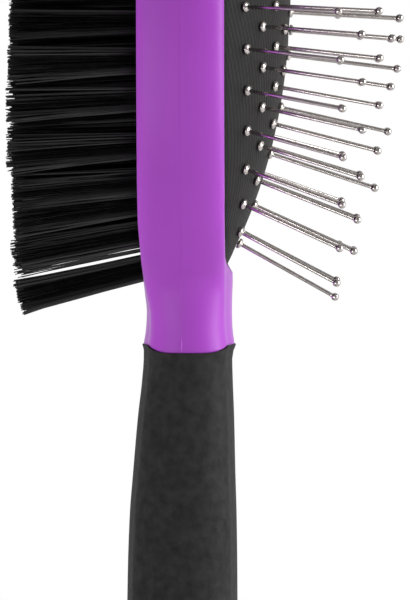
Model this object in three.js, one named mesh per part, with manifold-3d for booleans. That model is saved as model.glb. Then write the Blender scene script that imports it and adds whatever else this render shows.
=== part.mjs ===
// Double-sided pet brush: wire pins on a domed rubber cushion on one face,
// nylon tufts on the other, on an oval head with a waisted neck and rubber grip.
// Millimetres. +Z runs up the handle to the head, +X is the pin side, Y is the width.
import * as THREE from 'three';
import { mergeVertices } from 'three/addons/utils/BufferGeometryUtils.js';
import Module from 'manifold-3d';

// ---- head and cushion ----
const HEAD_Z = 196.0; // centre of the oval head
const HEAD_W = 33.6; // half-width of the head
const HEAD_L = 60.05; // half-length of the head
const RIM_X = 7.0; // plane of the rim round the cushion
const BACK_X = -8.05; // bristle face of the head
const PART_X = -0.6; // plane where the two shells meet
const PART_GAP = 0.1;
const PAD_W = 29.4; // half-width of the dome at the rim
const PAD_L = 56.1; // half-length of the dome at the rim
const DOME_H = 11.4; // height of the dome above the rim
const DOME_PY = 1.95; // exponents of the dome across and along
const DOME_PZ = 2.6;
const SKIN_T = 1.5; // rubber thickness
const FLANGE_OUT = 1.8; // flange beyond the dome's edge
const FLANGE_IN = 1.6;
const FLANGE_X = [4.5, 5.75];
const LIP_X = 5.9; // underside of the lip that holds the flange
const FLOOR_X = 1.6; // floor of the air chamber
const RING_X = [1.75, 4.35]; // support ring under the flange

// ---- pins: rings from the outermost in: half-length, half-width, count, pin on the centre line ----
const PIN_RINGS = [
  { name: 'pins_ring_a', a: 51.9, b: 24.8, n: 34, onEnd: true },
  { name: 'pins_ring_b', a: 46.0, b: 19.75, n: 30, onEnd: false },
  { name: 'pins_ring_c', a: 37.3, b: 14.7, n: 24, onEnd: false },
  { name: 'pins_ring_d', a: 29.9, b: 9.65, n: 18, onEnd: false },
  { name: 'pins_ring_e', a: 22.0, b: 4.6, n: 12, onEnd: false },
];
const CENTRE_PINS = 5;
const PIN_PITCH = 7.35;
const PIN_R = 0.35;
const PIN_LEN = 19.45; // dome surface to ball centre
const BALL_R = 0.7;
const COLLAR_R = 0.92;
const COLLAR_T = 0.7;
const PIN_SIDES = 5;
const TIE_W = 1.1; // strip that ties a ring of pins together under the rubber
const TIE_T = 0.55;
const TIE_DROP = 0.7;
const PIN_RAKE = 0.628; // how far and how fast the pins rake along the head
const PIN_RAKE_POWER = 1.5;
const PIN_SPLAY = 1.06; // share of the dome's slope that the pins follow across it

// ---- bristles ----
const ROW_Z = 194.95; // height of the middle row
const ROWS_OUT = [0, 6.65, 13.3, 19.95, 26.45, 32.75, 38.85, 44.65, 49.85, 55.3];
const TUFT_PITCH = 6.5;
const TUFT_R = [2.2, 3.3]; // half-diagonal at the root and at the tip
const TUFT_TIP_X = -30.9;
const ROW_W = 3.7; // staple strip along each row
const ROW_T = 0.9;
const PLATE_W = 28.4; // half-width of the bristle plate
const PLATE_Z = 194.75;
const PLATE_L = 57.85;
const PLATE_X = [-8.0, -5.5];
const GROOVE = 0.15;

// ---- handle ----
const TANG_W = 8.6;
const TANG_T = 4.6;
const TANG_Z = [25, 131];
const CAP_TOP = 16.85;
const GRIP_Z = 17.0;
const GRIP_TOP = 124.9; // top edge of the grip at the sides
const GRIP_LIFT = 1.3; // how much higher it ends on the front and back faces
const FIT = 0.15;
const HOLE_Z = 9.0;
const HOLE_R = 3.5;

// half-width, front and back of the handle at each height
const HANDLE = [
  [0, 8.4, -5.6, 4.4], [1.2, 10.6, -7.3, 6.0], [3.5, 12.8, -8.6, 7.3], [7, 14.3, -9.3, 8.1],
  [12, 15.2, -9.8, 8.6], [16.9, 15.7, -10.0, 8.8], [28, 16.1, -10.25, 9.0], [45, 16.2, -10.4, 9.1],
  [60, 15.9, -10.4, 9.1], [75, 15.1, -10.35, 9.05], [86.5, 14.3, -10.2, 9.0], [96.6, 13.6, -9.85, 8.87],
  [103.8, 13.1, -9.28, 8.66], [113.9, 12.5, -8.4, 8.43], [120, 12.25, -7.7, 8.2], [124.3, 12.2, -7.4, 8.1],
  [126.0, 12.2, -7.4, 8.55], [129, 12.2, -7.0, 8.15], [132.3, 12.3, -6.85, 8.1], [135, 12.5, -7.15, 8.35],
  [137.5, 12.8, -7.4, 8.5], [140.2, 13.1, -7.6, 8.55], [142.9, 13.4, -7.7, 8.4], [144.6, 13.5, -7.78, 7.0],
];
const HEAD_Z_STEPS = [
  148, 152.5, 158, 165, 173, 182, 190, 196, 203, 212, 221, 229, 236, 242, 247, 250.6, 253.2, 254.9, 255.7,
];
const LEVELS = [-1, -0.88, -0.55, 0, 0.55, 0.88, 1];

const wasm = await Module();
wasm.setup();

const PURPLE = [0.36, 0.05, 0.5];
const paint = (rgb, roughness, metalness = 0) => new THREE.MeshStandardMaterial({
  color: new THREE.Color(...rgb), roughness, metalness,
});
const MAT = {
  purple: paint(PURPLE, 0.32),
  rubber: paint([0.02, 0.02, 0.02], 0.7),
  cushion: paint([0.024, 0.023, 0.023], 0.6),
  steel: paint([0.75, 0.75, 0.76], 0.12, 1),
  nylon: paint([0.004, 0.004, 0.004], 0.45),
  black: paint([0.01, 0.01, 0.01], 0.5),
};

// ---- solids ----
function toSolid(geometry) {
  const g = geometry.clone();
  g.deleteAttribute('normal');
  g.deleteAttribute('uv');
  const m = mergeVertices(g, 1e-5);
  return new wasm.Manifold(new wasm.Mesh({
    numProp: 3,
    vertProperties: new Float32Array(m.attributes.position.array),
    triVerts: new Uint32Array(m.index.array),
  }));
}

function fromSolid(solid) {
  const mesh = solid.getMesh();
  const g = new THREE.BufferGeometry();
  const n = mesh.vertProperties.length / mesh.numProp;
  const pos = new Float32Array(n * 3);
  for (let i = 0; i < n; i += 1) {
    for (let k = 0; k < 3; k += 1) pos[3 * i + k] = mesh.vertProperties[i * mesh.numProp + k];
  }
  g.setAttribute('position', new THREE.BufferAttribute(pos, 3));
  g.setIndex(new THREE.BufferAttribute(new Uint32Array(mesh.triVerts), 1));
  const flat = g.toNonIndexed();
  flat.computeVertexNormals();
  return flat;
}

function meshGeometry(points, faces) {
  const g = new THREE.BufferGeometry();
  g.setAttribute('position', new THREE.Float32BufferAttribute(points.flat(), 3));
  g.setIndex(faces.flat());
  return g;
}

const unite = (solids) => solids.reduce((sum, s) => sum.add(s));

function boxSolid(low, high) {
  const g = new THREE.BoxGeometry(high[0] - low[0], high[1] - low[1], high[2] - low[2]);
  g.translate((low[0] + high[0]) / 2, (low[1] + high[1]) / 2, (low[2] + high[2]) / 2);
  return toSolid(g);
}

// oval point: angle 0 is +Y, a quarter turn is +Z
function ovalPoint(angle, halfW, halfL, pw = DOME_PY, pl = DOME_PZ) {
  const c = Math.cos(angle);
  const s = Math.sin(angle);
  return [
    Math.sign(c) * halfW * Math.abs(c) ** (2 / pw),
    Math.sign(s) * halfL * Math.abs(s) ** (2 / pl),
  ];
}

// oval prism between two planes of X
function ovalSolid(halfW, halfL, x0, x1, zc = HEAD_Z, steps = 44) {
  const points = [[x0, 0, zc], [x1, 0, zc]];
  const faces = [];
  for (let i = 0; i < steps; i += 1) {
    const [y, z] = ovalPoint((2 * Math.PI * i) / steps, halfW, halfL);
    points.push([x0, y, zc + z], [x1, y, zc + z]);
  }
  for (let i = 0; i < steps; i += 1) {
    const a = 2 + 2 * i;
    const b = 2 + 2 * ((i + 1) % steps);
    faces.push([0, b, a], [1, a + 1, b + 1], [a, b, a + 1], [b, b + 1, a + 1]);
  }
  return toSolid(meshGeometry(points, faces));
}

// ---- outside of the head, neck and handle ----
function headHalfWidth(z) {
  const v = Math.abs(z - HEAD_Z) / HEAD_L;
  return v >= 1 ? 0 : HEAD_W * (1 - v ** 2.5) ** (1 / 2.05);
}

function stations() {
  const list = HANDLE.map(([z, w, back, front]) => {
    const head = headHalfWidth(z);
    return { z, w: (w ** 5 + head ** 5) ** 0.2, back, front, inset: Math.min(5.2, 0.6 * w) };
  });
  for (const z of HEAD_Z_STEPS) {
    list.push({ z, w: headHalfWidth(z), back: BACK_X, front: RIM_X, inset: 2.1 });
  }
  const blend = list.filter((s) => s.z > 126 && s.z < 145);
  blend.forEach((s, i) => { s.inset = 5.2 + ((2.1 - 5.2) * (i + 1)) / blend.length; });
  return list;
}

function envelope() {
  const rows = stations();
  const points = [];
  const faces = [];
  const count = LEVELS.length;
  rows.forEach((s) => {
    LEVELS.forEach((level) => {
      const inset = s.inset * (1 - (1 - Math.abs(level) ** 2.4) ** (1 / 2.4));
      const upper = s.z > HEAD_Z;
      const w = upper ? s.w * (1 - inset / HEAD_W) : s.w - inset;
      const z = upper ? HEAD_Z + (s.z - HEAD_Z) * (1 - inset / HEAD_L) : s.z;
      const x = (s.front + s.back) / 2 + ((s.front - s.back) / 2) * level;
      points.push([x, -w, z], [x, w, z]);
    });
  });
  const at = (row, level, side) => 2 * (row * count + level) + side;
  const quad = (a, b, c, d) => faces.push([a, b, c], [a, c, d]);
  for (let r = 0; r < rows.length - 1; r += 1) {
    for (let k = 0; k < count - 1; k += 1) {
      quad(at(r, k, 1), at(r, k + 1, 1), at(r + 1, k + 1, 1), at(r + 1, k, 1));
      quad(at(r, k + 1, 0), at(r, k, 0), at(r + 1, k, 0), at(r + 1, k + 1, 0));
    }
    quad(at(r, count - 1, 1), at(r, count - 1, 0), at(r + 1, count - 1, 0), at(r + 1, count - 1, 1));
    quad(at(r, 0, 0), at(r, 0, 1), at(r + 1, 0, 1), at(r + 1, 0, 0));
  }
  const last = rows.length - 1;
  for (let k = 0; k < count - 1; k += 1) {
    quad(at(0, k, 0), at(0, k + 1, 0), at(0, k + 1, 1), at(0, k, 1));
    quad(at(last, k, 1), at(last, k + 1, 1), at(last, k + 1, 0), at(last, k, 0));
  }
  const body = toSolid(meshGeometry(points, faces));
  return body.volume() < 0 ? toSolid(meshGeometry(points, faces.map((f) => [f[0], f[2], f[1]]))) : body;
}

// everything below the curved top edge of the grip, raised by `up`
function belowGripEdge(up, from) {
  const shape = new THREE.Shape();
  shape.moveTo(-14, from);
  shape.lineTo(14, from);
  for (let i = 0; i <= 16; i += 1) {
    const x = 14 - (28 * i) / 16;
    const far = Math.min(1, Math.abs(x - 0.4) / 8.2);
    shape.lineTo(x, GRIP_TOP + up + GRIP_LIFT * far ** 2.2);
  }
  const g = new THREE.ExtrudeGeometry(shape, { depth: 80, bevelEnabled: false, curveSegments: 1 });
  g.rotateX(Math.PI / 2);
  g.translate(0, 40, 0);
  return toSolid(g);
}

// rounded bar along Z that fills the middle of the handle
function tangSolid(grow, z0, z1) {
  const points = [[PART_X, 0, z0], [PART_X, 0, z1]];
  const faces = [];
  const steps = 16;
  for (let i = 0; i < steps; i += 1) {
    const angle = (2 * Math.PI * (i + 0.5)) / steps;
    const c = Math.cos(angle);
    const s = Math.sin(angle);
    const x = PART_X + Math.sign(c) * (TANG_T + grow) * Math.abs(c) ** 0.6;
    const y = Math.sign(s) * (TANG_W + grow) * Math.abs(s) ** 0.6;
    points.push([x, y, z0], [x, y, z1]);
  }
  for (let i = 0; i < steps; i += 1) {
    const a = 2 + 2 * i;
    const b = 2 + 2 * ((i + 1) % steps);
    faces.push([0, b, a], [1, a + 1, b + 1], [a, b, a + 1], [b, b + 1, a + 1]);
  }
  return toSolid(meshGeometry(points, faces));
}

// ---- frame ----
function frameSolid() {
  const above = envelope().subtract(belowGripEdge(FIT, -5));
  return above.add(tangSolid(0, TANG_Z[0], TANG_Z[1]));
}

function frontShell(frame) {
  const half = boxSolid([PART_X + PART_GAP / 2, -60, -5], [40, 60, 270]);
  const chamber = ovalSolid(PAD_W + FLANGE_OUT + FIT, PAD_L + FLANGE_OUT + FIT, FLOOR_X, LIP_X);
  const mouth = ovalSolid(PAD_W + 0.2, PAD_L + 0.2, LIP_X - 1, 20);
  return frame.intersect(half).subtract(chamber).subtract(mouth);
}

function backShell(frame) {
  const half = boxSolid([-40, -60, -5], [PART_X - PART_GAP / 2, 60, 270]);
  const recess = ovalSolid(PLATE_W + FIT, PLATE_L + FIT, -20, PLATE_X[1] + FIT, PLATE_Z);
  return frame.intersect(half).subtract(recess);
}

function gripSleeve() {
  return envelope().intersect(belowGripEdge(0, GRIP_Z)).subtract(tangSolid(FIT, -5, 140));
}

function buttCap() {
  const hole = new THREE.CylinderGeometry(HOLE_R, HOLE_R, 40, 20);
  hole.rotateZ(Math.PI / 2);
  hole.translate(0, 0, HOLE_Z);
  const base = envelope().intersect(boxSolid([-20, -30, -5], [20, 30, CAP_TOP]));
  return base.add(tangSolid(0, CAP_TOP - 1, TANG_Z[0] - 0.3)).subtract(toSolid(hole));
}

// ---- cushion ----
const domeHeight = (y, z) => DOME_H
  * (1 - Math.abs(y / PAD_W) ** DOME_PY - Math.abs((z - HEAD_Z) / PAD_L) ** DOME_PZ);

// a ring of cushion points: radius 1 is the edge of the dome
function cushionLoop(radius, grow, x, steps, drop) {
  const loop = [];
  for (let i = 0; i < steps; i += 1) {
    const angle = (2 * Math.PI * i) / steps;
    const c = Math.cos(angle) * radius;
    const s = Math.sin(angle) * radius;
    const y = Math.sign(c) * (PAD_W + grow) * Math.abs(c) ** (2 / DOME_PY);
    const z = Math.sign(s) * (PAD_L + grow) * Math.abs(s) ** (2 / DOME_PZ);
    const height = x === null ? RIM_X + DOME_H * (1 - radius * radius) - drop : x;
    loop.push([height, y, HEAD_Z + z]);
  }
  return loop;
}

function cushionSolid() {
  const steps = 32;
  const outside = [0.3, 0.56, 0.8, 1].map((r) => cushionLoop(r, 0, null, steps, 0));
  const rim = [
    cushionLoop(1, 0, FLANGE_X[1], steps, 0),
    cushionLoop(1, FLANGE_OUT, FLANGE_X[1], steps, 0),
    cushionLoop(1, FLANGE_OUT, FLANGE_X[0], steps, 0),
    cushionLoop(1, -FLANGE_IN, FLANGE_X[0], steps, 0),
  ];
  const inside = [0.93, 0.7, 0.38].map((r) => cushionLoop(r, 0, null, steps, SKIN_T));
  const loops = [...outside, ...rim, ...inside];
  const points = loops.flat();
  points.push([RIM_X + DOME_H, 0, HEAD_Z], [RIM_X + DOME_H - SKIN_T, 0, HEAD_Z]);
  const top = points.length - 2;
  const faces = [];
  for (let i = 0; i < steps; i += 1) {
    const j = (i + 1) % steps;
    faces.push([top, i, j]);
    for (let k = 0; k < loops.length - 1; k += 1) {
      const a = k * steps;
      const b = (k + 1) * steps;
      faces.push([a + i, b + i, b + j], [a + i, b + j, a + j]);
    }
    const e = (loops.length - 1) * steps;
    faces.push([top + 1, e + j, e + i]);
  }
  const body = toSolid(meshGeometry(points, faces));
  return body.volume() < 0 ? toSolid(meshGeometry(points, faces.map((f) => [f[0], f[2], f[1]]))) : body;
}

function supportRing() {
  const outer = ovalSolid(PAD_W + FLANGE_OUT, PAD_L + FLANGE_OUT, RING_X[0], RING_X[1]);
  const inner = ovalSolid(PAD_W - FLANGE_IN + 0.2, PAD_L - FLANGE_IN + 0.2, RING_X[0] - 1, RING_X[1] + 1);
  return outer.subtract(inner);
}

// ---- pins ----
// root on the dome and direction of the pin at one place on the head
function pinAt(y, z) {
  const v = (z - HEAD_Z) / PAD_L;
  const slope = (DOME_H * DOME_PY * Math.abs(y / PAD_W) ** (DOME_PY - 1)) / PAD_W;
  const root = new THREE.Vector3(RIM_X + domeHeight(y, z), y, z);
  const along = new THREE.Vector3(
    1,
    Math.sign(y) * slope * PIN_SPLAY,
    Math.sign(v) * PIN_RAKE * Math.abs(v) ** PIN_RAKE_POWER,
  ).normalize();
  return { root, along };
}

// pins at equal steps of arc round an oval, starting at its lower end
function ringPins(ring) {
  const steps = 1440;
  const path = [];
  let length = 0;
  for (let i = 0; i <= steps; i += 1) {
    const [y, z] = ovalPoint(-Math.PI / 2 + (2 * Math.PI * i) / steps, ring.b, ring.a, 2, 1.95);
    if (i > 0) length += Math.hypot(y - path[i - 1].y, z - path[i - 1].z);
    path.push({ y, z, length });
  }
  const pins = [];
  for (let k = 0; k < ring.n; k += 1) {
    const want = (length * (k + (ring.onEnd ? 0 : 0.5))) / ring.n;
    const i = Math.max(1, path.findIndex((p) => p.length >= want));
    const f = (want - path[i - 1].length) / (path[i].length - path[i - 1].length);
    const y = path[i - 1].y + f * (path[i].y - path[i - 1].y);
    const z = path[i - 1].z + f * (path[i].z - path[i - 1].z);
    pins.push(pinAt(y, HEAD_Z + z));
  }
  return pins;
}

function centrePins() {
  const pins = [];
  for (let k = 0; k < CENTRE_PINS; k += 1) {
    pins.push(pinAt(0, HEAD_Z + PIN_PITCH * (k - (CENTRE_PINS - 1) / 2)));
  }
  return pins;
}

function place(geometry, pin) {
  const turn = new THREE.Quaternion().setFromUnitVectors(new THREE.Vector3(0, 1, 0), pin.along);
  geometry.applyQuaternion(turn);
  geometry.translate(pin.root.x, pin.root.y, pin.root.z);
  return geometry;
}

// wire with a collar on the rubber and a ball at the tip
function pinSolid(pin) {
  const low = (SKIN_T + TIE_DROP + TIE_T * 0.6) / pin.along.x;
  const profile = [
    [0, -low], [PIN_R, -low], [PIN_R, 0.14], [COLLAR_R, 0.14], [PIN_R, 0.14 + COLLAR_T],
    [PIN_R, PIN_LEN - 0.6], [BALL_R, PIN_LEN], [0, PIN_LEN + BALL_R],
  ].map(([r, h]) => new THREE.Vector2(r, h));
  return toSolid(place(new THREE.LatheGeometry(profile, PIN_SIDES), pin));
}

// flat strip through the feet of neighbouring pins, under the rubber
function tieSolid(pins, closed) {
  const feet = pins.map(({ root, along }) => (
    root.clone().addScaledVector(along, -(SKIN_T + TIE_DROP) / along.x)
  ));
  const n = feet.length;
  const points = [];
  const faces = [];
  feet.forEach((foot, i) => {
    const before = closed ? feet[(i + n - 1) % n] : feet[Math.max(0, i - 1)];
    const after = closed ? feet[(i + 1) % n] : feet[Math.min(n - 1, i + 1)];
    const run = new THREE.Vector2(after.y - before.y, after.z - before.z).normalize();
    const side = new THREE.Vector2(run.y, -run.x).multiplyScalar(TIE_W / 2);
    const end = closed ? 0 : (i === 0 ? -1 : Number(i === n - 1));
    const z = foot.z + end * TIE_W * 0.5 * run.y;
    points.push([foot.x, foot.y + side.x, z + side.y], [foot.x, foot.y - side.x, z - side.y]);
    points.push([foot.x - TIE_T, foot.y - side.x, z - side.y], [foot.x - TIE_T, foot.y + side.x, z + side.y]);
  });
  const spans = closed ? n : n - 1;
  for (let i = 0; i < spans; i += 1) {
    const a = 4 * i;
    const b = 4 * ((i + 1) % n);
    for (let k = 0; k < 4; k += 1) {
      const m = (k + 1) % 4;
      faces.push([a + k, b + k, b + m], [a + k, b + m, a + m]);
    }
  }
  if (!closed) {
    const e = 4 * (n - 1);
    faces.push([0, 1, 2], [0, 2, 3], [e, e + 2, e + 1], [e, e + 3, e + 2]);
  }
  const body = toSolid(meshGeometry(points, faces));
  return body.volume() < 0 ? toSolid(meshGeometry(points, faces.map((f) => [f[0], f[2], f[1]]))) : body;
}

const pinGroup = (pins, closed) => tieSolid(pins, closed).add(unite(pins.map(pinSolid)));

// three-sided hole through the rubber for each pin, hidden by its collar
function pinHoles(pins) {
  return pins.map((pin) => {
    const hole = new THREE.CylinderGeometry(0.86, 0.86, 6, 3);
    return toSolid(place(hole, pin));
  });
}

// ---- bristles ----
function rowHeights() {
  const down = ROWS_OUT.map((d) => ROW_Z - d).reverse();
  const up = ROWS_OUT.slice(1).map((d) => ROW_Z + d);
  return [...down, ...up];
}

function rowCount(z, index) {
  const v = Math.min(0.999, (Math.abs(z - PLATE_Z) + ROW_W / 2) / PLATE_L);
  const half = PLATE_W * (1 - v ** DOME_PZ) ** (1 / DOME_PY) - 2.5;
  const n = Math.max(1, Math.floor((2 * half) / TUFT_PITCH) + 1);
  return n % 2 === index % 2 || n === 1 ? n : n - 1;
}

function tuftSolid(y, z) {
  const v = (z - ROW_Z) / 55.3;
  const lean = new THREE.Vector3(-1, 0.17 * (y / 27), Math.sign(v) * (0.075 * Math.abs(v) + 0.135 * v ** 4));
  const start = -7.3;
  const reach = (start - TUFT_TIP_X) * (1 - 0.05 * Math.abs(v) ** 8);
  const length = reach * lean.length() - 0.7 * TUFT_R[1] * Math.hypot(lean.y, lean.z);
  const g = new THREE.CylinderGeometry(TUFT_R[1], TUFT_R[0], length, 4);
  g.rotateY(Math.PI / 4);
  g.translate(0, length / 2, 0);
  return toSolid(place(g, { root: new THREE.Vector3(start, y, z), along: lean.normalize() }));
}

function rowSpan(n) {
  return ((n - 1) / 2) * TUFT_PITCH + 2.2;
}

function bristleRow(z, n) {
  const half = rowSpan(n);
  const strip = boxSolid([PLATE_X[0], -half, z - ROW_W / 2], [PLATE_X[0] + ROW_T, half, z + ROW_W / 2]);
  const tufts = [];
  for (let k = 0; k < n; k += 1) tufts.push(tuftSolid((k - (n - 1) / 2) * TUFT_PITCH, z));
  return strip.add(unite(tufts));
}

function bristlePlate(rows) {
  const grooves = rows.map(([z, n]) => {
    const half = rowSpan(n) + GROOVE;
    const w = ROW_W / 2 + GROOVE;
    return boxSolid([PLATE_X[0] - 1, -half, z - w], [PLATE_X[0] + ROW_T + GROOVE, half, z + w]);
  });
  const plate = ovalSolid(PLATE_W, PLATE_L, PLATE_X[0], PLATE_X[1], PLATE_Z, 40);
  return plate.subtract(unite(grooves));
}

// ---- assembly ----
const object = new THREE.Group();
object.name = 'pin_and_bristle_brush';

function add(name, solid, material) {
  const mesh = new THREE.Mesh(fromSolid(solid), material);
  mesh.name = name;
  object.add(mesh);
}

const frame = frameSolid();
const rings = PIN_RINGS.map((ring) => ({ name: ring.name, pins: ringPins(ring), closed: true }));
rings.push({ name: 'pins_centre_row', pins: centrePins(), closed: false });
const rows = rowHeights().map((z, i) => [z, rowCount(z, i)]);
const holes = unite(rings.flatMap((ring) => pinHoles(ring.pins)));

add('front_shell', frontShell(frame), MAT.purple);
add('back_shell', backShell(frame), MAT.purple);
add('grip_sleeve', gripSleeve(), MAT.rubber);
add('butt_cap', buttCap(), MAT.purple);
add('cushion_pad', cushionSolid().subtract(holes), MAT.cushion);
add('support_ring', supportRing(), MAT.black);
add('bristle_plate', bristlePlate(rows), MAT.black);
rings.forEach((ring) => add(ring.name, pinGroup(ring.pins, ring.closed), MAT.steel));
rows.forEach(([z, n], i) => add(`bristle_row_${String(i + 1).padStart(2, '0')}`, bristleRow(z, n), MAT.nylon));

export default object;
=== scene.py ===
# Looks of a double-sided pet brush: wire pins on a rubber cushion, nylon tufts behind.
import math

import bmesh
import bpy
import numpy as np
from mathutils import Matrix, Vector

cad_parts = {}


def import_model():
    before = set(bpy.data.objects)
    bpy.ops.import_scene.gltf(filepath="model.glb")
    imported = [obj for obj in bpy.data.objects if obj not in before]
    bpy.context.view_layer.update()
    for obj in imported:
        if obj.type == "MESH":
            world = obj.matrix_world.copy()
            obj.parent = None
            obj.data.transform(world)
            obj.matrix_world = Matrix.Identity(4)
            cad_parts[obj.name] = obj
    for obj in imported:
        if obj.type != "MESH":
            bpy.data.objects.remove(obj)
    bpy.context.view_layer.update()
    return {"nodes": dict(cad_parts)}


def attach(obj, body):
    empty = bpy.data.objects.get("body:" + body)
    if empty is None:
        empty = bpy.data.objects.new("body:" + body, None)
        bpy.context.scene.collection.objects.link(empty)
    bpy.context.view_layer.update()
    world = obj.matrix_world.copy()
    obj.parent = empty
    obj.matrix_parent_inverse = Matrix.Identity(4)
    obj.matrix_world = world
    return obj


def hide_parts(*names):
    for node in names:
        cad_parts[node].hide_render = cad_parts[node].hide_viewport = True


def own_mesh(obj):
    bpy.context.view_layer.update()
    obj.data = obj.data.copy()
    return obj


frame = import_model()

MM = 0.001
SEED = 7

# ---- dimensions, in millimetres, as in the CAD part ----
HEAD_Z, HEAD_W, HEAD_L = 196.0, 33.6, 60.05
HEAD_PY, HEAD_PZ = 2.05, 2.5  # squareness of the head's outline
RIM_X, BACK_X, PART_X = 7.0, -8.05, -0.6
SECTION_POWER = 2.2  # squareness of the body's section
NECK_TOP = 152  # above this the two faces are flat
HEAD_INSET, NECK_INSET = 2.5, 5.8  # rounding of the edges
CROWN = 0.9  # bulge of the handle's faces
PAD_W, PAD_L, DOME_H = 29.4, 56.1, 11.4
DOME_PY, DOME_PZ = 1.95, 2.6
RINGS = [("a", 51.9, 24.8, 34, True), ("b", 46.0, 19.75, 30, False), ("c", 37.3, 14.7, 24, False),
         ("d", 29.9, 9.65, 18, False), ("e", 22.0, 4.6, 12, False)]
PIN_R, PIN_LEN, BALL_R = 0.34, 19.45, 0.7
PIN_PITCH = 7.35
PIN_SPLAY, PIN_RAKE, PIN_RAKE_POWER = 1.06, 0.628, 1.5  # lean sideways, and towards the two ends
PIN_SUNK = 1.0  # wire hidden in the rubber
RING_POWER = 1.95  # squareness of the rings of pins
DIMPLE_DEPTH, DIMPLE_R = 0.22, 1.3
ROW_Z = 194.95
ROWS_OUT = [0, 6.65, 13.3, 19.95, 26.45, 32.75, 38.85, 44.65, 49.85, 55.3]
TUFT_PITCH = 6.5
TUFT_R, TUFT_ROOT_X, TUFT_TIP_X = 2.35, -7.4, -30.9
FLARE = 0.017  # how much a tuft spreads, per millimetre from its middle
FIBRE_R, FIBRE_STATIONS = 0.14, 5
PLATE_W, PLATE_L, PLATE_Z = 28.4, 57.85, 194.75
GRIP_Z, GRIP_TOP, GRIP_LIFT = 17.0, 124.9, 1.3
CAP_TOP, HOLE_Z, HOLE_R = 16.85, 9.0, 3.5
COLLAR_Z = 126.6  # where the rows of the body start, above its edge on the grip
EDGE_POWER = 4.4  # how late the grip's edge turns up towards the faces
PARTING_GAP = 0.0006  # half of the angle left open between the two halves of the body

# height, half-width, back and front of the handle
HANDLE = np.array([
    [0, 8.4, -5.6, 4.4], [1.2, 10.6, -7.3, 6.0], [3.5, 12.8, -8.6, 7.3], [7, 14.3, -9.3, 8.1],
    [12, 15.2, -9.8, 8.6], [16.9, 15.7, -10.0, 8.8], [28, 16.1, -10.25, 9.0], [45, 16.2, -10.4, 9.1],
    [60, 15.9, -10.4, 9.1], [75, 15.1, -10.35, 9.05], [86.5, 14.3, -10.2, 9.0], [96.6, 13.6, -9.85, 8.87],
    [103.8, 13.1, -9.28, 8.66], [113.9, 12.5, -8.4, 8.43], [120, 12.25, -7.7, 8.2], [124.3, 12.2, -7.4, 8.1],
    [126.0, 12.2, -7.4, 8.5], [129, 12.2, -7.0, 8.15], [132.3, 12.3, -6.85, 8.05], [135, 12.5, -7.15, 8.1],
    [137.5, 12.8, -7.4, 8.2], [139.2, 13.0, -7.55, 8.15], [141.0, 13.2, -7.65, 7.0], [142.9, 13.4, -7.7, 7.0],
    [144.6, 13.5, -7.78, 7.0],
    [148, 13.5, -8.0, 7.0], [152.5, 13.5, -8.05, 7.0],
])


# ---- small maths ----
def smooth(x, table, column):
    """Monotone cubic through one column of a table, so nothing overshoots between stations."""
    xs, ys = table[:, 0], table[:, column]
    h = np.diff(xs)
    d = np.diff(ys) / h
    m = np.zeros(len(xs))
    same = d[1:] * d[:-1] > 0
    w1, w2 = 2 * h[1:] + h[:-1], h[1:] + 2 * h[:-1]
    m[1:-1][same] = (w1 + w2)[same] / (w1[same] / d[:-1][same] + w2[same] / d[1:][same])
    m[0], m[-1] = d[0], d[-1]
    x = np.clip(x, xs[0], xs[-1])
    i = np.clip(np.searchsorted(xs, x) - 1, 0, len(h) - 1)
    t = (x - xs[i]) / h[i]
    return ((2 * t ** 3 - 3 * t ** 2 + 1) * ys[i] + (t ** 3 - 2 * t ** 2 + t) * h[i] * m[i]
            + (3 * t ** 2 - 2 * t ** 3) * ys[i + 1] + (t ** 3 - t ** 2) * h[i] * m[i + 1])


def signed(v, power):
    return math.copysign(abs(v) ** power, v)


def section(z):
    """Half-width, back, front, edge rounding and the crowns of the two faces at a height."""
    v = abs(z - HEAD_Z) / HEAD_L
    head = HEAD_W * max(0.0, 1 - v ** HEAD_PZ) ** (1 / HEAD_PY)
    if z > NECK_TOP:
        return head, BACK_X, RIM_X, HEAD_INSET, 0.0, 0.0
    w = (float(smooth(z, HANDLE, 1)) ** 5 + head ** 5) ** 0.2
    mix = min(1.0, max(0.0, (z - 126) / 19))
    mix = mix * mix * (3 - 2 * mix)
    inset = min(NECK_INSET, 0.6 * w) * (1 - mix) + HEAD_INSET * mix
    front = float(smooth(z, HANDLE, 3))
    neck = min(1.0, max(0.0, (z - 124) / 8))
    crown = CROWN + (max(0.0, front - RIM_X + 0.05) - CROWN) * neck * neck * (3 - 2 * neck)
    return w, float(smooth(z, HANDLE, 2)), front, inset, CROWN * (1 - mix), crown


def skin_point(z, phi, grow=0.0):
    """Point on the +Y side of the body: phi -90 is the back face's edge, 90 the front face's."""
    w, back, front, inset, crown_back, crown_front = section(z)
    back, front = back + crown_back, front - crown_front
    inset_here = inset * (1 - abs(math.cos(phi)) ** (2 / SECTION_POWER))
    x = (front + back) / 2 + ((front - back) / 2 + grow) * signed(math.sin(phi), 2 / SECTION_POWER)
    if z > HEAD_Z:
        k = 1 - inset_here / HEAD_W
        return x, max(0.0, w * k + grow), HEAD_Z + (z - HEAD_Z) * (1 - inset_here / HEAD_L)
    return x, w - inset_here + grow, z


def skin_loop(z_of, grow=0.0, phi0=-math.pi / 2, phi1=math.pi / 2, sides=18, across=9):
    """Closed loop round the body; z_of(phi) is the height at each place."""
    phis = np.linspace(phi0, phi1, sides + 1)
    right = [skin_point(z_of(p), p, grow) for p in phis]

    def face(phi, side):
        x, y, z = skin_point(z_of(phi), phi, grow)
        out = 1 if phi > 0 else -1
        crown = section(z_of(phi))[5 if out > 0 else 4] * (1 if abs(abs(phi) - math.pi / 2) < 1e-6 else 0)
        row = []
        for k in range(1, across):
            u = side * (1 - 2 * k / across)
            row.append((x + out * crown * (1 - u * u), u * y, z))
        return row

    left = [(x, -y, z) for x, y, z in reversed(right)]
    return right + face(phi1, 1) + left + face(phi0, -1)


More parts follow.
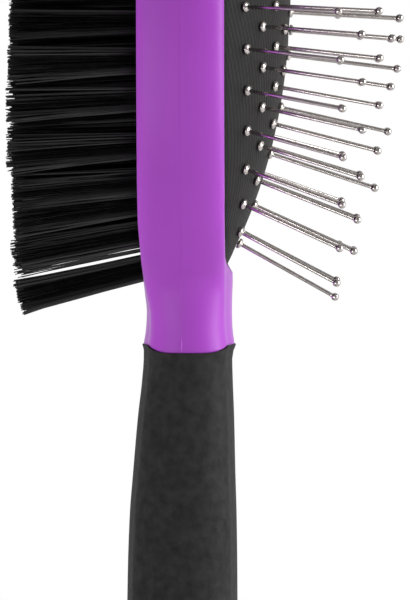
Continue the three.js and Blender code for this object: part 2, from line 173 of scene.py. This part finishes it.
def loft(loops, end=True):
    """Closed mesh through loops of equal length, with flat ends; a last loop of no width needs no end."""
    n = len(loops[0])
    points = [p for loop in loops for p in loop]
    faces = []
    for a in range(len(loops) - 1):
        for i in range(n):
            j = (i + 1) % n
            faces.append((a * n + i, a * n + j, (a + 1) * n + j, (a + 1) * n + i))
    faces.append(tuple(reversed(range(n))))
    if end:
        faces.append(tuple((len(loops) - 1) * n + i for i in range(n)))
    return points, faces


def make(name, points, faces, material, sharp=35):
    """Object from points in millimetres, with its faces turned outwards."""
    mesh = bpy.data.meshes.new(name)
    mesh.from_pydata([tuple(np.array(p, float) * MM) for p in points], [], faces)
    mesh.validate()
    b = bmesh.new()
    b.from_mesh(mesh)
    bmesh.ops.remove_doubles(b, verts=b.verts, dist=1e-7)
    bmesh.ops.recalc_face_normals(b, faces=b.faces)
    if b.calc_volume(signed=True) < 0:
        bmesh.ops.reverse_faces(b, faces=b.faces)
    b.to_mesh(mesh)
    b.free()
    obj = bpy.data.objects.new(name, mesh)
    bpy.context.scene.collection.objects.link(obj)
    obj.data.materials.append(material)
    finish_shading(obj, sharp)
    return obj


def finish_shading(obj, sharp=35):
    obj.data.polygons.foreach_set("use_smooth", [True] * len(obj.data.polygons))
    obj.data.set_sharp_from_angle(angle=math.radians(sharp))


def cut(obj, *cutters):
    """Subtracts the cutters and removes them."""
    for cutter in cutters:
        m = obj.modifiers.new("cut", "BOOLEAN")
        m.operation = "DIFFERENCE"
        m.solver = "MANIFOLD"
        m.object = cutter
        graph = bpy.context.evaluated_depsgraph_get()
        new = bpy.data.meshes.new_from_object(obj.evaluated_get(graph))
        obj.modifiers.remove(m)
        old = obj.data
        obj.data = new
        bpy.data.meshes.remove(old)
        bpy.data.objects.remove(cutter)
    finish_shading(obj)
    return obj


def oval_loop(half_w, half_l, x, zc=HEAD_Z, steps=96):
    """Oval of the cushion's shape, square to X."""
    loop = []
    for i in range(steps):
        a = 2 * math.pi * i / steps
        loop.append((x, half_w * signed(math.cos(a), 2 / DOME_PY), zc + half_l * signed(math.sin(a), 2 / DOME_PZ)))
    return loop


# ---- materials ----
def node_material(name):
    m = bpy.data.materials.new(name)
    m.use_nodes = True
    return m, m.node_tree.nodes, m.node_tree.links, m.node_tree.nodes["Principled BSDF"]


def noise(nodes, links, scale, detail=4.0, coords=None):
    n = nodes.new("ShaderNodeTexNoise")
    n.inputs["Scale"].default_value = scale
    n.inputs["Detail"].default_value = detail
    links.new(coords.outputs["Object"], n.inputs["Vector"])
    return n


def ramp(nodes, links, source, low, high, at=(0.3, 0.7)):
    r = nodes.new("ShaderNodeValToRGB")
    r.color_ramp.elements[0].position, r.color_ramp.elements[1].position = at
    r.color_ramp.elements[0].color = (*low, 1)
    r.color_ramp.elements[1].color = (*high, 1)
    links.new(source, r.inputs["Fac"])
    return r


def bump(nodes, links, height, strength, distance, after=None):
    b = nodes.new("ShaderNodeBump")
    b.inputs["Strength"].default_value = strength
    b.inputs["Distance"].default_value = distance
    links.new(height, b.inputs["Height"])
    if after:
        links.new(after.outputs["Normal"], b.inputs["Normal"])
    return b


def textured(name, low, high, scale, rough, rough_scale, bumps, metallic=0.0, **sockets):
    """Colour and roughness that vary with noise, and one or more layers of bump."""
    m, nodes, links, shader = node_material(name)
    coords = nodes.new("ShaderNodeTexCoord")
    tint = ramp(nodes, links, noise(nodes, links, scale, coords=coords).outputs["Fac"], low, high)
    links.new(tint.outputs["Color"], shader.inputs["Base Color"])
    spread = noise(nodes, links, rough_scale, coords=coords)
    span = nodes.new("ShaderNodeMapRange")
    span.inputs["To Min"].default_value, span.inputs["To Max"].default_value = rough
    links.new(spread.outputs["Fac"], span.inputs["Value"])
    links.new(span.outputs["Result"], shader.inputs["Roughness"])
    last = None
    for grain, strength, distance in bumps:
        last = bump(nodes, links, noise(nodes, links, grain, 6.0, coords).outputs["Fac"], strength, distance, last)
    if last:
        links.new(last.outputs["Normal"], shader.inputs["Normal"])
    shader.inputs["Metallic"].default_value = metallic
    for socket, value in sockets.items():
        shader.inputs[socket.replace("_", " ")].default_value = value
    return m


def cushion_material():
    """Dark rubber with a fine moulded hatch, two sets of slanting lines, and painted shade that darkens it down at
    the rim.
    """
    m, nodes, links, shader = node_material("cushion_hatched_rubber")
    coords = nodes.new("ShaderNodeTexCoord")
    lines = []
    for tilt in (-22, 40):
        turn = nodes.new("ShaderNodeMapping")
        turn.inputs["Rotation"].default_value = (math.radians(tilt), 0, 0)
        links.new(coords.outputs["Object"], turn.inputs["Vector"])
        wave = nodes.new("ShaderNodeTexWave")
        wave.bands_direction = "Y"
        wave.inputs["Scale"].default_value = 360
        wave.inputs["Distortion"].default_value = 0.5
        links.new(turn.outputs["Vector"], wave.inputs["Vector"])
        lines.append(wave)
    both = nodes.new("ShaderNodeMath")
    both.operation = "MULTIPLY_ADD"
    links.new(lines[1].outputs["Fac"], both.inputs[0])
    both.inputs[1].default_value = 0.35
    links.new(lines[0].outputs["Fac"], both.inputs[2])
    tint = ramp(nodes, links, both.outputs[0], (0.0072, 0.0068, 0.0068), (0.0216, 0.0204, 0.0204), (0.1, 1.1))
    # painted shade: within a millimetre above the rim the colour is mixed towards near-black, standing in for the
    # shadow at the dome's base
    split = nodes.new("ShaderNodeSeparateXYZ")
    links.new(coords.outputs["Object"], split.inputs["Vector"])
    rim_shade_ramp = nodes.new("ShaderNodeMapRange")
    rim_shade_ramp.inputs["From Min"].default_value, rim_shade_ramp.inputs["From Max"].default_value = 0.0070, 0.0080
    rim_shade_ramp.inputs["To Min"].default_value = 0.12
    links.new(split.outputs["X"], rim_shade_ramp.inputs["Value"])
    painted_rim_shade = nodes.new("ShaderNodeMix")
    painted_rim_shade.data_type = "RGBA"
    links.new(rim_shade_ramp.outputs["Result"], painted_rim_shade.inputs["Factor"])
    # near-black colour of the painted shade at the rim
    painted_rim_shade.inputs["A"].default_value = (0.002, 0.001, 0.002, 1)
    links.new(tint.outputs["Color"], painted_rim_shade.inputs["B"])
    links.new(painted_rim_shade.outputs["Result"], shader.inputs["Base Color"])
    hatch = bump(nodes, links, both.outputs[0], 0.5, 0.00012)
    grain = bump(nodes, links, noise(nodes, links, 2600, 4, coords).outputs["Fac"], 0.3, 0.00004, hatch)
    links.new(grain.outputs["Normal"], shader.inputs["Normal"])
    shader.inputs["Roughness"].default_value = 0.6
    shader.inputs["Specular IOR Level"].default_value = 0.15
    return m


MAT = {
    "purple": textured("purple_satin_abs", (0.34, 0.049, 0.475), (0.37, 0.056, 0.51), 45, (0.42, 0.52), 300,
                       [(900, 0.05, 0.00003), (4200, 0.05, 0.00001)],
                       Specular_IOR_Level=0.33, Sheen_Weight=0.4, Sheen_Roughness=0.3),
    "grip": textured("grip_soft_rubber", (0.014, 0.0135, 0.014), (0.028, 0.027, 0.028), 620, (0.6, 0.78), 900,
                     [(1500, 0.45, 0.00012), (5200, 0.4, 0.00005)], Specular_IOR_Level=0.14),
    "chrome": textured("pin_bright_wire", (0.5, 0.455, 0.43), (0.66, 0.62, 0.6), 900, (0.13, 0.22), 1400,
                       [(3000, 0.06, 0.00001)], metallic=1.0),
    "nylon": textured("bristle_black_nylon", (0.0015, 0.0015, 0.0015), (0.007, 0.007, 0.007), 500, (0.26, 0.38), 900,
                      [(3500, 0.1, 0.00001)], Specular_IOR_Level=0.6),
    "plate": textured("plate_black_plastic", (0.004, 0.004, 0.004), (0.009, 0.009, 0.009), 300, (0.45, 0.6), 500,
                      [(1800, 0.2, 0.00004)]),
    "cushion": cushion_material(),
}


# ---- body ----
def edge_height(phi):
    """Top edge of the grip: higher on the front and back faces than at the sides."""
    return GRIP_TOP + GRIP_LIFT * abs(math.sin(phi)) ** EDGE_POWER


def parting_phi(z):
    """Where the joint between the two halves crosses the outline at a height."""
    _, back, front, _, crown_back, crown_front = section(z)
    back, front = back + crown_back, front - crown_front
    s = (PART_X - (front + back) / 2) / ((front - back) / 2)
    return math.asin(signed(s, SECTION_POWER / 2))


def shell(name, front):
    """One half of the purple body, from the grip's edge to the top of the head."""
    heights = list(np.linspace(0, 1, 46) ** 1.15 * (HEAD_Z - COLLAR_Z) + COLLAR_Z)
    heights += [HEAD_Z + HEAD_L * math.sin(a) for a in np.linspace(0, math.pi / 2, 44)[1:-1]]
    heights.append(HEAD_Z + HEAD_L)

    def loop(z_of, z_mid, grow=0.0):
        mid = parting_phi(z_mid)
        if front:
            return skin_loop(z_of, grow, mid + PARTING_GAP, math.pi / 2, 14, 9)
        return skin_loop(z_of, grow, -math.pi / 2, mid - PARTING_GAP, 14, 9)

    # rounded lower edge: height above the grip's edge, and how far inside the skin
    rim = [(0.1, -2.0), (0.1, -0.35), (0.2, -0.08), (0.35, 0.0), (0.7, 0.0)]
    loops = [loop(lambda p, up=up: edge_height(p) + up, 125.5, grow) for up, grow in rim]
    low = edge_height(math.pi / 2) + 0.8
    for z in heights[1:]:
        lift = max(0.0, 1 - (z - COLLAR_Z) / 6)
        loops.append(loop(lambda p, z=z, lift=lift: z + lift * (edge_height(p) - low) * 0.6, z))
    points, faces = loft(loops, end=False)
    return make(name, points, faces, MAT["purple"], 40)


def flared(name, half_w, half_l, levels, zc=HEAD_Z):
    """Cutter for a recess; levels are (x, how much wider)."""
    points, faces = loft([oval_loop(half_w + g, half_l + g, x, zc) for x, g in levels])
    return make(name, points, faces, MAT["plate"])


front = shell("front_shell_skin", True)
cut(front, flared("mouth", PAD_W + 0.2, PAD_L + 0.2,
                  [(1.6, 0), (6.5, 0), (6.75, 0.08), (6.92, 0.25), (7.02, 0.55), (7.5, 0.62), (8.7, 1.1), (12, 1.3)]))
back = shell("back_shell_skin", False)
cut(back, flared("recess", PLATE_W + 0.15, PLATE_L + 0.15,
                 [(-14, 0.6), (-8.2, 0.5), (-7.95, 0.25), (-7.7, 0), (-5.3, 0)], PLATE_Z))
for piece, node in ((front, "front_shell"), (back, "back_shell")):
    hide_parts(node)


def grip():
    """Rubber sleeve, rounded below, with a lip above."""
    loops = []
    ends = [(-2.6, 0.0), (-1.2, 0.0), (-0.5, 0.02), (-0.15, 0.15), (0, 0.45)]
    for grow, up in ends:
        loops.append(skin_loop(lambda p, up=up: GRIP_Z + up, grow))
    for t in np.linspace(0, 1, 74)[1:-1]:
        loops.append(skin_loop(lambda p, t=t: GRIP_Z + 0.45 + (edge_height(p) - 0.95 - GRIP_Z - 0.45) * t))
    # thin lip that flares over the lower edge of the collar
    lip = [(0, 0.9), (0.08, 0.5), (0.19, 0.1), (0.27, -0.12), (0.2, -0.2), (0.09, -0.12), (0.05, 0.02), (-0.6, 0.02),
           (-2.6, 0.02)]
    for grow, down in lip:
        loops.append(skin_loop(lambda p, down=down: edge_height(p) - down, grow))
    points, faces = loft(loops)
    return make("grip_sleeve_rubber", points, faces, MAT["grip"], 50)


def cap():
    """End cap with a rounded through hole to hang it by."""
    loops = [skin_loop(lambda p, z=z: z, g) for z, g in
             [(0, -0.25), (0.12, -0.05), (0.3, 0)] + [(z, 0) for z in np.linspace(0.8, CAP_TOP - 0.35, 22)]
             + [(CAP_TOP - 0.12, -0.06), (CAP_TOP, -0.3), (CAP_TOP, -2.6)]]
    points, faces = loft(loops)
    body = make("butt_cap_moulding", points, faces, MAT["purple"], 40)
    ring = []
    for x, r in [(-14, 2.0), (-10.4, 1.25), (-9.9, 0.75), (-9.2, 0.25), (-8.3, 0), (7.0, 0), (7.9, 0.25),
                 (8.6, 0.75), (9.1, 1.25), (13, 2.0)]:
        ring.append([(x, (HOLE_R + r) * math.cos(a), HOLE_Z + (HOLE_R + r) * math.sin(a))
                     for a in np.linspace(0, 2 * math.pi, 49)[:-1]])
    points, faces = loft(ring)
    return cut(body, make("hole", points, faces, MAT["purple"]))


sleeve = grip()
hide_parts("grip_sleeve")
end_cap = cap()
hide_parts("butt_cap")


def gate_mark():
    """Short raised bead on the mould line where the neck meets the grip."""
    loops = []
    for k in range(9):
        t = k / 8
        z = 125.15 + 2.5 * t
        r = 0.26 * math.sqrt(max(0.02, 1 - (2 * t - 1) ** 2))
        y = -section(z)[0] + 0.12
        loops.append([(-0.7 + r * math.cos(a), y - 0.8 * r * math.sin(a), z)
                      for a in np.linspace(0, 2 * math.pi, 13)[:-1]])
    points, faces = loft(loops)
    return make("neck_gate_mark", points, faces, MAT["purple"], 60)


mark = gate_mark()


# ---- cushion ----
def dome_height(y, z):
    """Height of the rubber above the rim."""
    return DOME_H * (1 - abs(y / PAD_W) ** DOME_PY - abs((z - HEAD_Z) / PAD_L) ** DOME_PZ)


def pin_at(y, z):
    """Root on the dome and direction of one pin."""
    v = (z - HEAD_Z) / PAD_L
    slope = DOME_H * DOME_PY * abs(y / PAD_W) ** (DOME_PY - 1) / PAD_W
    along = Vector((1, math.copysign(slope * PIN_SPLAY, y) if abs(y) > 1e-6 else 0,
                    math.copysign(PIN_RAKE * abs(v) ** PIN_RAKE_POWER, v)))
    return Vector((RIM_X + dome_height(y, z), y, z)), along.normalized()


def ring_pins(a, b, count, on_end):
    """Pins evenly spaced along an oval; on_end puts one at the very end."""
    path = []
    length = 0.0
    for i in range(1441):
        t = -math.pi / 2 + 2 * math.pi * i / 1440
        y, z = b * math.cos(t), a * signed(math.sin(t), 2 / RING_POWER)
        if path:
            length += math.hypot(y - path[-1][0], z - path[-1][1])
        path.append((y, z, length))
    at = [length * (k + (0 if on_end else 0.5)) / count for k in range(count)]
    ys = np.interp(at, [p[2] for p in path], [p[0] for p in path])
    zs = np.interp(at, [p[2] for p in path], [p[1] for p in path])
    return [pin_at(float(y), HEAD_Z + float(z)) for y, z in zip(ys, zs)]


groups = {f"ring_{n}_pins": ring_pins(a, b, c, e) for n, a, b, c, e in RINGS}
groups["centre_pins"] = [pin_at(0.0, HEAD_Z + PIN_PITCH * k) for k in range(-2, 3)]
all_roots = np.array([list(root) for pins in groups.values() for root, _ in pins])


def cushion():
    """Thin dome with a rolled edge and a shallow dimple at every pin."""
    steps, loops = 144, []
    radii = list(np.linspace(0.02, 0.9, 52)) + [0.925, 0.95, 0.97, 0.985, 0.995, 1.0]
    for r in radii:
        loop = []
        for i in range(steps):
            a = 2 * math.pi * i / steps
            y = PAD_W * signed(math.cos(a) * r, 2 / DOME_PY)
            z = HEAD_Z + PAD_L * signed(math.sin(a) * r, 2 / DOME_PZ)
            near = np.min(np.hypot(all_roots[:, 1] - y, all_roots[:, 2] - z))
            dimple = DIMPLE_DEPTH * math.exp(-(near / DIMPLE_R) ** 2)
            loop.append((RIM_X + DOME_H * (1 - r * r) - dimple, y, z))
        loops.append(loop)
    loops += [oval_loop(PAD_W, PAD_L, x, steps=steps) for x in (6.8, 6.2)]
    inner = []
    for r in (0.97, 0.8, 0.5, 0.2):
        inner.append([(RIM_X + DOME_H * (1 - r * r) * 0.9 - 1.4,
                       PAD_W * signed(math.cos(2 * math.pi * i / steps) * r, 2 / DOME_PY),
                       HEAD_Z + PAD_L * signed(math.sin(2 * math.pi * i / steps) * r, 2 / DOME_PZ))
                      for i in range(steps)])
    points, faces = loft(loops + inner)
    return make("cushion_dome", points, faces, MAT["cushion"], 60)


dome = cushion()
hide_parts("cushion_pad")


# ---- pins ----
def pin_mesh(pins, sides=12):
    """Wires with a collar at the root and a ball at the tip, turned from (radius, distance from the root)."""
    ball = [(BALL_R * math.sin(a), PIN_LEN - BALL_R * math.cos(a)) for a in np.linspace(0.55, math.pi, 9)]
    profile = [(0.0, -PIN_SUNK), (PIN_R, -PIN_SUNK), (PIN_R, 0.02), (0.5, 0.03), (0.84, 0.05), (0.92, 0.14),
               (0.93, 0.34), (0.86, 0.52), (0.66, 0.66), (0.44, 0.74), (PIN_R + 0.02, 0.8), (PIN_R, 0.84),
               (PIN_R, 0.9), (PIN_R, 9.0), (PIN_R, PIN_LEN - 0.85), (PIN_R, PIN_LEN - 0.78),
               (0.37, PIN_LEN - 0.72)] + ball
    points, faces = [], []
    for root, along in pins:
        turn = Vector((0, 0, 1)).rotation_difference(along)
        base = len(points)
        for r, h in profile:
            for k in range(sides):
                a = 2 * math.pi * k / sides
                points.append(tuple(root + turn @ Vector((r * math.cos(a), r * math.sin(a), h))))
        for s in range(len(profile) - 1):
            for k in range(sides):
                j = (k + 1) % sides
                faces.append((base + s * sides + k, base + s * sides + j,
                              base + (s + 1) * sides + j, base + (s + 1) * sides + k))
    return points, faces


pin_pieces = {}
for body, pins in groups.items():
    node = "pins_centre_row" if body == "centre_pins" else "pins_" + body[:6]
    points, faces = pin_mesh(pins)
    piece = make(node + "_wires", points, faces, MAT["chrome"], 50)
    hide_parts(node)
    pin_pieces[body] = piece


# ---- bristles ----
def row_heights():
    """Heights of the rows, from the bottom up."""
    return [ROW_Z - d for d in reversed(ROWS_OUT)] + [ROW_Z + d for d in ROWS_OUT[1:]]


def row_count(z, index):
    """Tufts that fit across the plate at a height, odd and even in turn."""
    v = min(0.999, (abs(z - PLATE_Z) + 1.85) / PLATE_L)
    half = PLATE_W * (1 - v ** DOME_PZ) ** (1 / DOME_PY) - 2.5
    n = max(1, int(2 * half / TUFT_PITCH) + 1)
    return n if n % 2 == index % 2 or n == 1 else n - 1


def filaments(y0, z0, shift, count, random):
    """Fibres of one tuft: packed at the root, spread at the tip, each with its own length and bend."""
    v = (z0 - ROW_Z) / 55.3
    lean = np.array([-1, 0.17 * y0 / 27, math.copysign(0.075 * abs(v) + 0.163 * v ** 4, v)])
    flare = FLARE if abs(v) < 0.88 else 0.008 if abs(v) < 0.98 else 0.013
    short = 0.9 * random.random()
    points, faces = [], []
    for _ in range(count):
        r, a = TUFT_R * math.sqrt(random.random()), 2 * math.pi * random.random()
        dy, dz = r * math.cos(a), r * math.sin(a)
        outer = 1 + math.copysign(1, v) * dz / TUFT_R
        tip_x = TUFT_TIP_X + short + 1.9 * random.random() ** 1.6 + 0.9 * abs(v) ** 8 * outer
        reach = TUFT_ROOT_X - tip_x
        aim = lean + np.array([0, dy * FLARE, dz * flare]) + np.array([0, *random.normal(0, 0.011, 2)])
        bend = random.normal(0, 0.28, 2)
        base = len(points)
        root = np.array([TUFT_ROOT_X, y0 + dy, z0 + shift + dz])
        for s in range(FIBRE_STATIONS):
            t = s / (FIBRE_STATIONS - 1)
            c = root + aim * reach * t + np.array([0, bend[0] * t * t, bend[1] * t * t])
            width = FIBRE_R - 0.03 * t
            for k in range(3):
                b = 2 * math.pi * k / 3 + a
                points.append((c[0], c[1] + width * math.cos(b), c[2] + width * math.sin(b)))
        for s in range(FIBRE_STATIONS - 1):
            for k in range(3):
                j = (k + 1) % 3
                at = base + 3 * s
                faces.append((at + k, at + j, at + 3 + j, at + 3 + k))
        faces.append((base + 2, base + 1, base))
        last = base + 3 * (FIBRE_STATIONS - 1)
        faces.append((last, last + 1, last + 2))
    return points, faces


# how far up or down alternate tufts sit; the end rows stay in line
STAGGER = {0: (0.0, 0.0), 1: (-0.2, 0.8), 17: (-0.8, 0.2), 18: (0.0, 0.0)}
rows = []
for index, z in enumerate(row_heights()):
    n = row_count(z, index)
    random = np.random.default_rng(SEED + index)
    points, faces = [], []
    for k in range(n):
        low, high = STAGGER.get(index, (-1.0, 1.0))
        place = k - (n - 1) / 2
        shift = high if int(abs(place)) % 2 else low
        p, f = filaments(place * TUFT_PITCH, z, shift, 96 if n > 2 else 260, random)
        faces += [tuple(i + len(points) for i in face) for face in f]
        points += p
    piece = make(f"bristle_row_{index + 1:02d}_fibres", points, faces, MAT["nylon"], 70)
    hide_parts(f"bristle_row_{index + 1:02d}")
    rows.append(piece)


def plate():
    """Face that the tufts stand on; its lower end sinks with the back of the body."""
    levels = [(-5.5, 0), (-7.55, 0), (-7.8, -0.1), (-7.95, -0.35), (-7.97, -1.2)]
    loops = []
    for x, g in levels:
        loop = []
        for _, y, z in oval_loop(PLATE_W + g, PLATE_L + g, x, PLATE_Z):
            sunk = section(z)[1] - BACK_X + (0.12 if z < 150 else 0) if x < -7 else 0
            loop.append((x + sunk, y, z))
        loops.append(loop)
    points, faces = loft(loops)
    return make("bristle_plate_face", points, faces, MAT["plate"], 40)


bristle_plate = plate()
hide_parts("bristle_plate")
frame["nodes"]["support_ring"].data.materials.clear()
frame["nodes"]["support_ring"].data.materials.append(MAT["plate"])

# ---- what rides on what ----
for piece in [front, back, sleeve, end_cap, mark, dome, bristle_plate, *rows]:
    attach(piece, "brush_body")
for body, piece in pin_pieces.items():
    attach(piece, body)
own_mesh(dome)


# ---- stage, light and camera ----
def stage_material():
    m, nodes, links, shader = node_material("pale_floor")
    coords = nodes.new("ShaderNodeTexCoord")
    mottle = noise(nodes, links, 6, coords=coords)
    tint = ramp(nodes, links, mottle.outputs["Fac"], (0.86, 0.86, 0.86), (0.9, 0.9, 0.9))
    links.new(tint.outputs["Color"], shader.inputs["Base Color"])
    shader.inputs["Roughness"].default_value = 0.8
    return m


floor_points = [(620 * math.cos(a), 620 * math.sin(a), -0.05) for a in np.linspace(0, 2 * math.pi, 97)[:-1]]
floor = make("floor", floor_points, [tuple(range(96))], stage_material())


def world():
    """White to the camera; to everything else a bright room that darkens towards the front."""
    w = bpy.data.worlds.new("studio")
    bpy.context.scene.world = w
    w.use_nodes = True
    nodes, links = w.node_tree.nodes, w.node_tree.links
    nodes.clear()
    out = nodes.new("ShaderNodeOutputWorld")
    mix = nodes.new("ShaderNodeMixShader")
    ray = nodes.new("ShaderNodeLightPath")
    seen = nodes.new("ShaderNodeBackground")
    seen.inputs["Color"].default_value = (1, 1, 1, 1)
    seen.inputs["Strength"].default_value = 1.0
    room = nodes.new("ShaderNodeBackground")
    room.inputs["Strength"].default_value = 0.46
    coords = nodes.new("ShaderNodeTexCoord")
    split = nodes.new("ShaderNodeSeparateXYZ")
    links.new(coords.outputs["Generated"], split.inputs["Vector"])
    shade = ramp(nodes, links, split.outputs["Y"], (0.6, 0.6, 0.6), (2, 2, 2), (0.25, 0.98))
    links.new(shade.outputs["Color"], room.inputs["Color"])
    links.new(ray.outputs["Is Camera Ray"], mix.inputs["Fac"])
    links.new(room.outputs[0], mix.inputs[1])
    links.new(seen.outputs[0], mix.inputs[2])
    links.new(mix.outputs[0], out.inputs["Surface"])


def light(name, place, aim, size, power, shine=True):
    """Area light in metres and watts; without shine it gives no reflections."""
    data = bpy.data.lights.new(name, "AREA")
    data.shape = "RECTANGLE"
    data.size, data.size_y = size
    data.energy = power
    obj = bpy.data.objects.new(name, data)
    obj.location = place
    obj.rotation_euler = (Vector(aim) - Vector(place)).to_track_quat("-Z", "Y").to_euler()
    obj.visible_glossy = shine
    bpy.context.scene.collection.objects.link(obj)


world()
light("key_right", (0.8, -0.16, 0.3), (0, 0, 0.15), (0.4, 0.7), 8.4)
light("fill_left", (-0.8, -0.06, 0.2), (0, 0, 0.15), (0.4, 0.6), 3.5, shine=False)
light("low_front", (-0.3, -0.45, 0.03), (0, 0, 0.19), (0.4, 0.05), 0.75)


def camera():
    """Looks along +Y, a little from above and from the pin side."""
    distance, elevation, azimuth = 1.4, math.radians(1.5), math.radians(0.8)
    sensor, view_height = 24, 0.105
    target = Vector((3.41 * MM, 0, 134.05 * MM))
    data = bpy.data.cameras.new("camera")
    obj = bpy.data.objects.new("camera", data)
    bpy.context.scene.collection.objects.link(obj)
    away = Vector((math.sin(azimuth) * math.cos(elevation), -math.cos(azimuth) * math.cos(elevation),
                   math.sin(elevation)))
    obj.location = target + away * distance
    obj.rotation_euler = (target - obj.location).to_track_quat("-Z", "Y").to_euler()
    data.sensor_fit = "VERTICAL"
    data.sensor_height = sensor
    data.lens = sensor * distance / view_height
    data.clip_start, data.clip_end = 0.05, 20
    bpy.context.scene.camera = obj


camera()
bpy.context.scene.view_settings.view_transform = "Standard"
bpy.context.scene.view_settings.look = "None"
